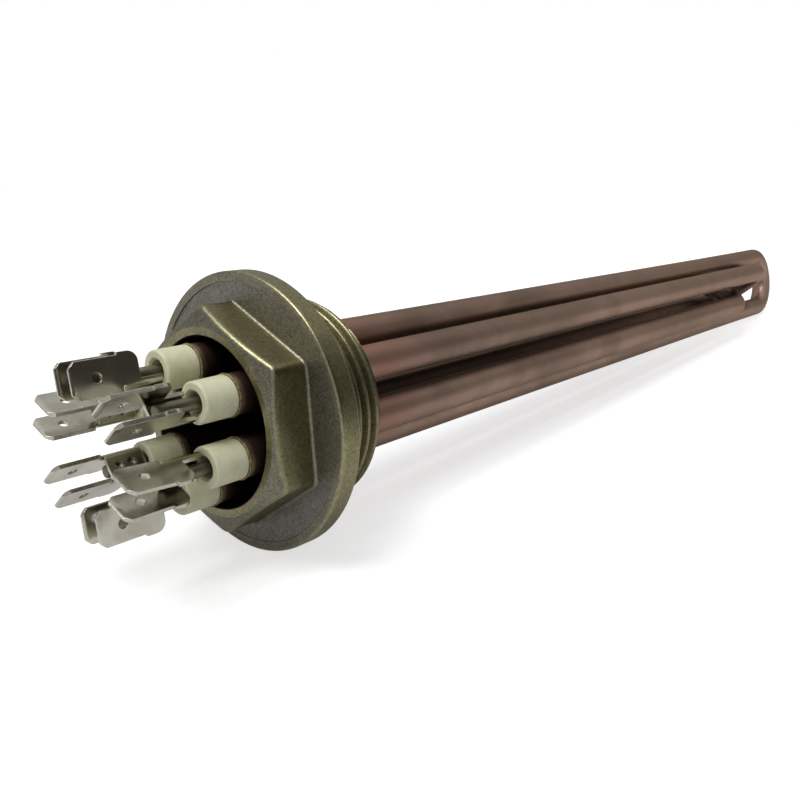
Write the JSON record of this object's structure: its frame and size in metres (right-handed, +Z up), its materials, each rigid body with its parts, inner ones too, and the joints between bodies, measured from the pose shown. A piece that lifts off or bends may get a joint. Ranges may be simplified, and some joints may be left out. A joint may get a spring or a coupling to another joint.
{
  "type": "immersion heating element",
  "caption": "Screw-in boiler heating element: hexagonal flanged brass plug with pipe thread, crossed copper hairpin heaters, ceramic bushings and double tab terminals.",
  "frame": {"origin": "on the axis, in the plane of the sealing face behind the flange", "axes": "+X along the heater tubes into the boiler, +Z up as the picture shows the part; the head and terminals point to -X"},
  "size_m": [0.3461, 0.0544, 0.0544],
  "materials": {
    "brass_head": "bead-blasted forging, olive bronze, bright worn edges",
    "braze_metal": "smooth brazing metal, dulled",
    "copper_sheath": "drawn copper tube, brown oxide with heat tint",
    "magnesia": "pressed powder, matt",
    "resistance_wire": "dull wire",
    "pin_nickel": "dark nickel plate",
    "steatite": "unglazed cream steatite, satin",
    "seal_ring": "squeezed ring, tan, glossy",
    "terminal_nickel": "nickel plate, soft reflections"
  },
  "bodies": {
    "root": {"hex_flange": "brass_head", "braze_fillets": "braze_metal", "sheath_1": "copper_sheath", "magnesia_core_1": "magnesia", "heating_coil_1": "resistance_wire", "sheath_2": "copper_sheath", "magnesia_core_2": "magnesia", "heating_coil_2": "resistance_wire", "sheath_3": "copper_sheath", "magnesia_core_3": "magnesia", "heating_coil_3": "resistance_wire", "terminal_pin_1": "pin_nickel", "ceramic_bushing_1": "steatite", "end_seal_1": "seal_ring", "tab_terminal_1": "terminal_nickel", "terminal_pin_2": "pin_nickel", "ceramic_bushing_2": "steatite", "end_seal_2": "seal_ring", "tab_terminal_2": "terminal_nickel", "terminal_pin_3": "pin_nickel", "ceramic_bushing_3": "steatite", "end_seal_3": "seal_ring", "tab_terminal_3": "terminal_nickel", "terminal_pin_4": "pin_nickel", "ceramic_bushing_4": "steatite", "end_seal_4": "seal_ring", "tab_terminal_4": "terminal_nickel", "terminal_pin_5": "pin_nickel", "ceramic_bushing_5": "steatite", "end_seal_5": "seal_ring", "tab_terminal_5": "terminal_nickel", "terminal_pin_6": "pin_nickel", "ceramic_bushing_6": "steatite", "end_seal_6": "seal_ring", "tab_terminal_6": "terminal_nickel"}
  },
  "joints": []
}
